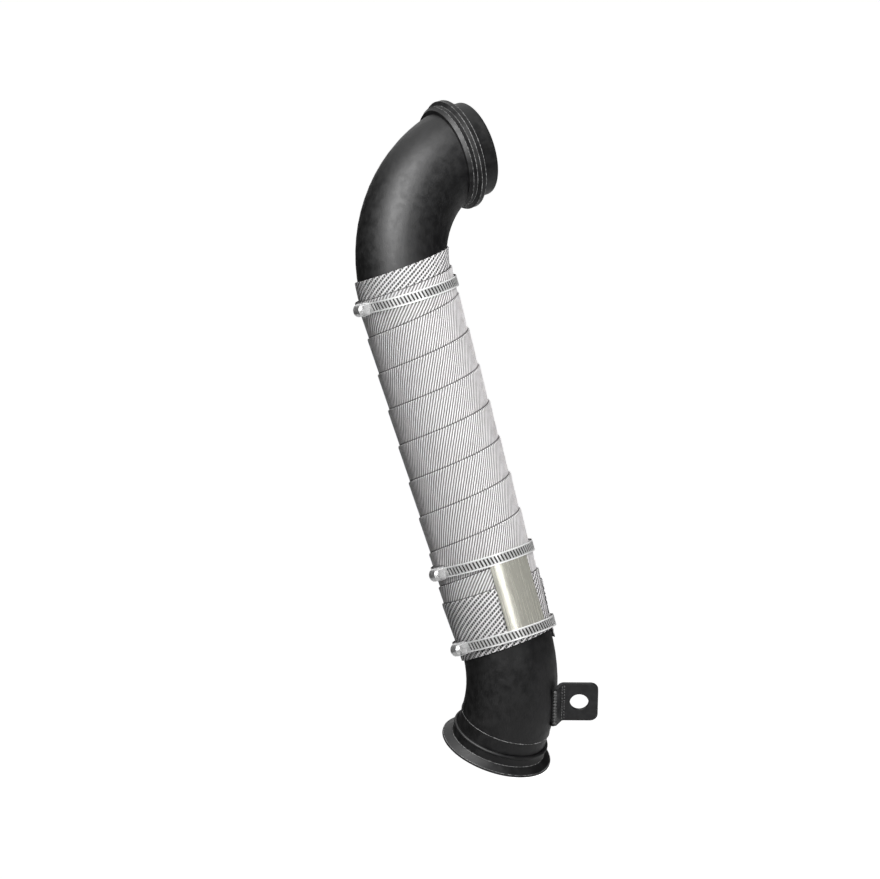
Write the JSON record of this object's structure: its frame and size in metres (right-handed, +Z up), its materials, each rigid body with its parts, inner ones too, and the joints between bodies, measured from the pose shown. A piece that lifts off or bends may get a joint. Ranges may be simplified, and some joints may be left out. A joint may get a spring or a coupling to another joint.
{
  "type": "turbo downpipe",
  "caption": "Bent exhaust downpipe with a ring inlet, a V-band outlet flange, a hanger bracket and a lapped glass heat wrap held by worm clamps.",
  "frame": {"origin": "centre of the inlet ring's front face, where the spigot begins", "axes": "+X out of the inlet along the spigot, +Z up along the straight run"},
  "size_m": [0.1599, 0.1217, 0.5615],
  "materials": {
    "black_paint": "semi-gloss hammered",
    "glass_tape": "coarse woven",
    "stainless": "bright rolled",
    "plate_steel": "brushed"
  },
  "bodies": {
    "root": {"downpipe_tube": "black_paint", "inlet_flange": "black_paint", "inlet_weld": "black_paint", "outlet_flange": "black_paint", "outlet_weld": "black_paint", "hanger_bracket": "black_paint", "bracket_weld": "black_paint", "heat_wrap": "glass_tape", "upper_clamp_band": "stainless", "upper_clamp_housing": "stainless", "upper_clamp_screw": "stainless", "middle_clamp_band": "stainless", "middle_clamp_housing": "stainless", "middle_clamp_screw": "stainless", "lower_clamp_band": "stainless", "lower_clamp_housing": "stainless", "lower_clamp_screw": "stainless", "name_plate": "plate_steel"}
  },
  "joints": []
}
